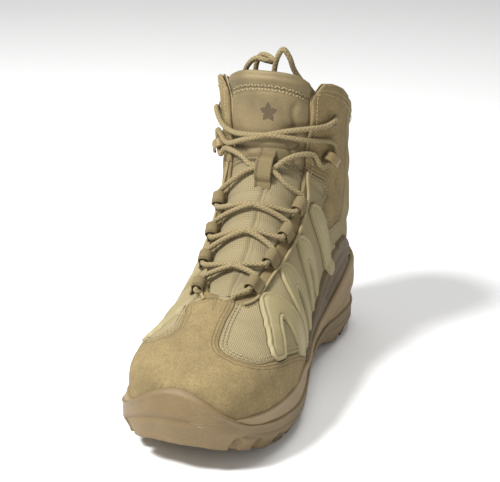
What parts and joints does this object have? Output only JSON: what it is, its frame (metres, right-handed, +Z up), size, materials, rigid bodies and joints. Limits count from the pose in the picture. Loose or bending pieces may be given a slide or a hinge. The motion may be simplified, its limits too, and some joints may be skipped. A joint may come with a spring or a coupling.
{
  "type": "combat boot",
  "caption": "Right mid-height lace-up boot with suede and woven upper, moulded side ribs and a cleated cup sole with a toe bumper.",
  "frame": {"origin": "centre of the boot's length and width, on the ground", "axes": "+X to the toe, +Y to the inner side of the foot, +Z up"},
  "size_m": [0.306, 0.118, 0.2428],
  "materials": {
    "rubber": "moulded, dull",
    "foam": "moulded, dull",
    "suede": "napped suede",
    "textile": "coarse woven",
    "lining": "knit lining",
    "webbing": "narrow woven webbing and round cord",
    "paint": "satin tan paint",
    "steel": "dull tan plate"
  },
  "bodies": {
    "root": {"outsole": "rubber", "midsole": "foam", "upper": "suede", "insole": "lining", "tongue": "textile", "heel_counter": "rubber", "eyelet_ring_medial": "steel", "eyelet_ring_lateral": "steel", "speed_hook_medial": "paint", "speed_hook_lateral": "paint", "tongue_keeper": "webbing", "lace_crossings": "webbing", "lace_end_medial": "webbing", "lace_end_lateral": "webbing", "lace_loop_medial_1": "webbing", "lace_loop_medial_2": "webbing", "lace_loop_medial_3": "webbing", "lace_loop_medial_4": "webbing", "lace_loop_lateral_1": "webbing", "lace_loop_lateral_2": "webbing", "lace_loop_lateral_3": "webbing", "lace_loop_lateral_4": "webbing"}
  },
  "joints": []
}
